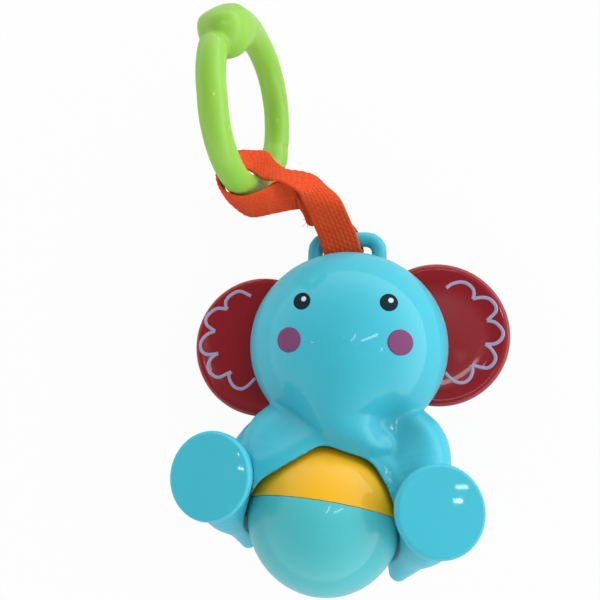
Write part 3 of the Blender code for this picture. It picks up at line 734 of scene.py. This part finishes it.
def woven_yarn(name, bright, dark):
    """Coarse dyed yarn: streaked, patchy and without gloss."""
    made = Finish(name)
    yarn = made.noise(1600.0, 3.0, 0.6)
    patch = made.noise(160.0, 2.0, 0.5)
    made.set(Base_Color=made.between(yarn * 0.65 + patch * 0.35, shade(dark), shade(bright)))
    made.set(Roughness=0.72 + yarn * 0.2, Normal=made.bump(yarn, 0.25, 0.0002), Specular_IOR_Level=0.1)
    return made.made


def printed_ink(name, colour):
    """Pad-printed ink: nearly even, with fine grain and less gloss than the plastic."""
    made = Finish(name)
    grain = made.noise(1400.0, 2.0, 0.6)
    made.set(Base_Color=made.between(grain, shade(colour, 0.96), shade(colour, 1.04)))
    made.set(Roughness=0.36 + grain * 0.12, Specular_IOR_Level=0.05)
    return made.made


TEAL = moulded_plastic("teal_plastic", from_screen(64, 182, 202), 0.36)
AQUA = moulded_plastic("aqua_plastic", from_screen(78, 186, 193), 0.34)
YELLOW = moulded_plastic("yellow_plastic", from_screen(234, 178, 32), 0.36)
DARK_RED = moulded_plastic("dark_red_plastic", from_screen(150, 26, 35), 0.2, shine=0.18)
GREEN = moulded_plastic("green_plastic", from_screen(137, 190, 68), 0.4)
WHITE = moulded_plastic("white_plastic", (0.8, 0.8, 0.77), 0.35)
WEBBING = woven_yarn("orange_webbing", from_screen(236, 94, 50), from_screen(192, 56, 26))
STITCH = woven_yarn("stitch_thread", from_screen(238, 124, 82), from_screen(212, 86, 48))
THREAD = woven_yarn("loose_thread", from_screen(240, 222, 214), from_screen(222, 150, 126))
STEEL = brushed_metal("plated_steel")
EYE_INK = printed_ink("eye_ink", from_screen(20, 40, 48))
GLINT_INK = printed_ink("eye_glint_ink", from_screen(205, 214, 220))
CHEEK_INK = printed_ink("cheek_ink", from_screen(126, 72, 112))
LINE_INK = printed_ink("ear_line_ink", from_screen(176, 168, 200))


# Pieces.

def make_shells():
    spots, faces = skin(front_shell, (-40, -62, 18), (40, 34, 54), FINE)
    add_piece("front_shell_skin", spots, faces, TEAL, "base", "shell_teal", "front_shell")
    spots, faces = skin(back_shell, (-46, -68, -2), (46, 42, 22), FINE + 0.1)
    add_piece("back_shell_skin", spots, faces, TEAL, "base", "shell_teal", "back_shell")


def sole_profile():
    """From the middle of a sole, over its rounded rim, to the middle of its underside."""
    flat = FOOT_R - SOLE_EDGE
    profile = [(0.0, 0.0), (6.0, 0.0), (flat - 0.4, 0.0), (flat, 0.0)]
    for a in np.linspace(0.2, math.pi / 2, 8):
        profile.append((flat + SOLE_EDGE * math.sin(a), SOLE_EDGE * (math.cos(a) - 1.0)))
    profile += [(FOOT_R - 0.15, -3.0), (FOOT_R - 0.5, -3.7), (FOOT_R - 1.0, -FOOT_THICK)]
    return profile + [(0.0, -FOOT_THICK)]


def make_legs():
    for side, name in SIDES:
        near, far = sorted((BODY_X + side * 8.0, BODY_X + side * 48.0))
        spots, faces = skin(lambda points: leg(points, side), (near, -82, 5), (far, -26, 64), FINE)
        add_piece(f"{name}_leg_skin", spots, faces, TEAL, "base", "shell_teal", f"{name}_leg")
        spots, faces = turned(sole_profile(), 96)
        spots = placed(spots, foot_frame(side))
        add_piece(f"{name}_foot_sole", spots, faces, TEAL, "base", "shell_teal", f"{name}_foot_cap")


def half_ball_profile():
    """From the pole of half a hollow ball, over the rounded edge of its seam, to the pole inside."""
    def round_ball(radius, angles):
        return [(radius * math.sin(a), radius * math.cos(a)) for a in angles]

    level = SEAM_GAP + SEAM_EDGE
    last = math.asin(level / (BALL_R - SEAM_EDGE))
    profile = round_ball(BALL_R, np.linspace(0, math.pi / 2 - last, 48))
    middle = (BALL_R - SEAM_EDGE) * math.cos(last)
    for a in np.linspace(last, -math.pi / 2, 6)[1:]:
        profile.append((middle + SEAM_EDGE * math.cos(a), level + SEAM_EDGE * math.sin(a)))
    profile.append((BALL_INSIDE_R, SEAM_GAP))
    return profile + round_ball(BALL_INSIDE_R, np.linspace(math.pi / 2 - 0.1, 0, 14))


def make_ball():
    place = Matrix.Translation(Vector(BALL)) @ Matrix.Rotation(SEAM_TURN - math.pi, 4, "X")
    for name, finish, slot, over in (
        ("ball_upper_half", YELLOW, "ball_yellow", 1), ("ball_lower_half", AQUA, "ball_aqua", -1),
    ):
        spots, faces = turned(half_ball_profile(), 128)
        spots = placed(spots * (1, over, over), place)
        add_piece(f"{name}_skin", spots, faces, finish, "ball", slot, name)


def on_ear(spots, side):
    """Spots about an ear's own middle, put where that ear is at rest."""
    return placed(spots + (side * EAR_X, side * EAR_Y, 0.0), Matrix.Rotation(EAR_TILT, 4, "Z"))


def make_ears():
    profile = [(max(r, 0.0), h) for r, h in smooth_row(EAR_PROFILE, 3)]
    profile[0], profile[-1] = (0.0, profile[0][1]), (0.0, profile[-1][1])
    for side, name in SIDES:
        spots, faces = turned(profile, 120)
        spots = on_ear(spots, side)
        add_piece(f"{name}_ear_skin", spots, faces, DARK_RED, "ears", "ear_red", f"{name}_ear")


def scallop(arc):
    """One printed arc, as a film of ink that follows the ear's dish."""
    path = smooth_row(arc, 8)
    along = np.gradient(path, axis=0)
    aside = np.column_stack((-along[:, 1], along[:, 0])) / np.linalg.norm(along, axis=1)[:, None]
    rows = []
    for across, rise in LINE_FILM:
        flat = path + across * aside
        height = np.interp(np.linalg.norm(flat, axis=1), *EAR_DISH.T) + rise
        rows.append(np.column_stack((flat, height)))
    return np.stack(rows, 1).reshape(-1, 3), ribbon(len(path), len(rows))


def make_ear_lines():
    for (side, name), arcs in zip(SIDES, (LEFT_SCALLOPS, RIGHT_SCALLOPS)):
        spots, faces = join([scallop(arc) for arc in arcs])
        add_piece(f"{name}_ear_line", on_ear(spots, side), faces, LINE_INK, "ears", "ear_red")


def make_ring():
    spots, faces = skin(snap_ring, (-62, 38, -3), (-22, 112, 68), RING_FINE)
    add_piece("snap_ring_skin", spots, faces, GREEN, "ring", "ring_green", "link_ring")


def strap_path(step):
    """Even stations round the webbing's loop: middle, across, outward and the distance along."""
    each, before = 60, 3
    rows = np.array([middle + across for middle, across in STRAP_ROUTE])
    rows = np.vstack((rows[-before:], rows, rows[: before + 1]))
    fine = smooth_row(rows, each)[each * before : each * (before + len(STRAP_ROUTE)) + 1]
    reach = np.concatenate(([0.0], np.cumsum(np.linalg.norm(np.diff(fine[:, :3], axis=0), axis=1))))
    count = int(round(reach[-1] / step / 2)) * 2
    places = np.arange(count) * reach[-1] / count
    even = np.column_stack([np.interp(places, reach, fine[:, k]) for k in range(6)])
    middle, across = even[:, :3], even[:, 3:] / np.linalg.norm(even[:, 3:], axis=1)[:, None]
    along = np.roll(middle, -1, 0) - np.roll(middle, 1, 0)
    outward = np.cross(across, along)
    return middle, across, outward / np.linalg.norm(outward, axis=1)[:, None], places


def make_strap():
    """Flat woven webbing: staggered ribs stand out of both faces and the edges are bound thinner."""
    middle, across, outward, places = strap_path(0.3)
    share = np.linspace(-1.0, 1.0, 53)
    lane = (share + 1.0) * (RIB_LANES / 2)
    odd = np.floor(np.minimum(lane, RIB_LANES - 0.01)) % 2
    wave = np.abs(np.sin(math.pi * (places[:, None] / RIB_LONG + 0.5 * odd)))
    rib = RIB_HIGH * np.abs(np.sin(math.pi * lane)) ** 0.6 * wave**0.7
    half = (STRAP_THICK / 2 - 0.12) * (1.0 - 0.5 * np.abs(share) ** 8) + rib
    base = middle[:, None] + across[:, None] * (share * STRAP_WIDE / 2)[:, None]
    over = base + outward[:, None] * half[..., None]
    under = base - outward[:, None] * half[..., None]
    loops = np.concatenate((over, under[:, ::-1]), 1)
    faces = ribbon(*loops.shape[:2], closed=True)
    piece = add_piece("webbing_strap", loops.reshape(-1, 3), faces, WEBBING, "strap", "webbing", "strap")


def make_stitches():
    """The row of stitches that closes the webbing's loop."""
    middle, across, outward, _ = strap_path(0.3)
    at = int(np.argmin(np.linalg.norm(middle - STITCH_AT, axis=1)))
    steps = np.linspace(-STITCH_HALF, STITCH_HALF, 7)
    lift = STRAP_THICK / 2 + 0.2 * np.cos(steps / STITCH_HALF * math.pi / 2)
    stitches = []
    for share in np.linspace(-0.86, 0.86, STITCHES):
        aside = share * STRAP_WIDE / 2 + steps
        path = middle[at] + np.outer(aside, across[at]) + np.outer(lift, outward[at])
        stitches.append(thread(path, STITCH_R))
    add_piece("webbing_stitches", *join(stitches), STITCH, "strap", "webbing")


def make_loose_threads():
    """Short threads that curl out of the webbing's cut end, each one a little different."""
    middle, across, outward, _ = strap_path(0.3)
    at = int(np.argmin(np.linalg.norm(middle - CUT_AT, axis=1)))
    edge = across[at] * (STRAP_WIDE / 2 - 0.5)
    loose = []
    for k in range(LOOSE_THREADS):
        start = middle[at + k % 7 * 2 - 6] - edge + outward[at] * 0.25 * math.sin(5.1 * k)
        lean = (
            -0.8 + 0.35 * math.sin(2.3 * k), -0.7 + 0.5 * math.sin(3.7 * k + 1), 0.25 * math.sin(1.9 * k)
        )
        curl = (0.55 * math.sin(4.3 * k), 0.55 * math.cos(2.9 * k), 0.4 * math.cos(5.3 * k))
        steps = np.linspace(0.0, 0.7 + 0.5 * math.sin(1.7 * k) ** 2, 7)
        loose.append(thread(start + np.outer(steps, lean) + np.outer(steps**2, curl), LOOSE_R))
    add_piece("webbing_loose_threads", *join(loose), THREAD, "strap", "webbing")


def on_face(x, y):
    """Spots on the face for places in the head's frame, and the face's outward direction there."""
    c, s = math.cos(HEAD_TILT), math.sin(HEAD_TILT)
    flat = np.column_stack((c * x - s * y, s * x + c * y))
    low, high = np.full(len(x), 24.0), np.full(len(x), 60.0)
    for _ in range(30):
        middle = (low + high) / 2
        inside = face_form(np.column_stack((flat, middle))) < 0
        low, high = np.where(inside, middle, low), np.where(inside, high, middle)
    spots = np.column_stack((flat, (low + high) / 2))
    _, slope = value_and_slope(face_form, spots, 0.05)
    return spots, slope / np.linalg.norm(slope, axis=1)[:, None]


def face_dot(name, x, y, radius, finish, rise):
    """A printed dot that lies on the face, with its rim turned down into it."""
    sides, rings = 48, 6
    profile = [(0.0, rise)] + [(radius * k / rings, rise) for k in range(1, rings)]
    profile += [(radius, rise * 0.6), (radius, INK_ROOT), (0.0, INK_ROOT)]
    flat, faces = turned(profile, sides)
    spots, outward = on_face(x + flat[:, 0], y + flat[:, 1])
    add_piece(name, spots + outward * flat[:, 2:], faces, finish, "base", "shell_teal")


def make_face():
    for side, name in SIDES:
        x, y = side * EYE_AT[0], EYE_AT[1]
        right, up = EYE_GLINT_OFF
        face_dot(f"{name}_eye", x, y, EYE_R, EYE_INK, EYE_RISE)
        face_dot(f"{name}_eye_glint", x + right, y + up, EYE_GLINT_R, GLINT_INK, EYE_GLINT_RISE)
        face_dot(f"{name}_cheek", side * CHEEK_AT[0], CHEEK_AT[1], CHEEK_R, CHEEK_INK, CHEEK_RISE)


def dress_inner_nodes():
    """Finishes for the nodes that keep their CAD shape."""
    for name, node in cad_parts.items():
        if "screw" in name or name == "ball_axle":
            finish = STEEL
        elif name.startswith("bead") or name == "ear_yoke":
            finish = WHITE
        elif name.endswith("bush"):
            finish = TEAL
        else:
            continue
        node.data.materials.clear()
        node.data.materials.append(finish)


# Stage.

def make_floor():
    """A pale floor that keeps the shadow but looks nearly white to the camera."""
    made = Finish("pale_floor")
    light = made.node("LightPath")
    rays = {0: light.outputs["Is Camera Ray"], 1: light.outputs["Is Transmission Ray"]}
    seen = made.value("Math", {"operation": "MAXIMUM"}, rays)
    made.set(Base_Color=(0.8, 0.8, 0.8, 1), Roughness=0.9, Specular_IOR_Level=0.1)
    glow = made.node("Emission", None, {"Color": (1, 1, 1, 1), "Strength": 1.0})
    mixed = made.node("MixShader", None, {0: seen * 0.95, 1: made.shader.outputs[0], 2: glow.outputs[0]})
    made.tree.links.new(mixed.outputs[0], made.output.inputs["Surface"])
    mesh = bpy.data.meshes.new("floor")
    square = [(-1, -1), (1, -1), (1, 1), (-1, 1)]
    mesh.from_pydata([(x * FLOOR_HALF, y * FLOOR_HALF, FLOOR_Z) for x, y in square], [], [(0, 1, 2, 3)])
    mesh.materials.append(made.made)
    floor = bpy.data.objects.new("floor", mesh)
    bpy.context.scene.collection.objects.link(floor)


def make_sky():
    """Soft room light: bright all round, most on the right, and dim straight above."""
    sky = Finish("room", "worlds", "Background", "World Output")
    toward = sky.node("TexCoord").outputs["Generated"]
    side = sky.value("VectorMath", {"operation": "DOT_PRODUCT"}, {0: toward, 1: SKY_BRIGHT}, 1)
    height = sky.node("SeparateXYZ", None, {0: toward}).outputs["Z"]
    dim_range = {"Value": height, 1: 0.0, 2: 1.0, 3: 0.0, 4: SKY_DIM}
    dim = sky.value("MapRange", {"interpolation_type": "SMOOTHSTEP"}, dim_range)
    lobe = (side * 0.5 + 0.5) ** SKY_NARROW
    sky.set(Color=(lobe * SKY_SIDE + SKY_EVEN) * (1.0 - dim), Strength=1.0)
    bpy.context.scene.world = sky.made


def make_panes():
    for name, place, toward, size, power in PANES:
        lamp = bpy.data.lights.new(name, "AREA")
        lamp.shape, lamp.size, lamp.size_y = "RECTANGLE", size[0], size[1]
        lamp.energy = power
        pane = bpy.data.objects.new(name, lamp)
        shines_on = Vector(place) * MM
        pane.location = shines_on + Vector(toward).normalized() * PANE_AWAY
        pane.rotation_euler = (shines_on - pane.location).to_track_quat("-Z", "Y").to_euler()
        bpy.context.scene.collection.objects.link(pane)


def make_camera():
    lens = bpy.data.cameras.new("camera")
    lens.lens, lens.sensor_width = CAMERA_LENS, CAMERA_SENSOR
    lens.clip_start, lens.clip_end = 0.01, 20.0
    camera = bpy.data.objects.new("camera", lens)
    camera.location, camera.rotation_euler = CAMERA_AT, CAMERA_TURN
    bpy.context.scene.collection.objects.link(camera)
    bpy.context.scene.camera = camera
    bpy.context.scene.view_settings.view_transform = "Standard"


make_floor()
make_sky()
make_panes()
make_camera()
make_shells()
make_legs()
make_ball()
make_ears()
make_ear_lines()
make_ring()
make_strap()
make_stitches()
make_loose_threads()
make_face()
dress_inner_nodes()
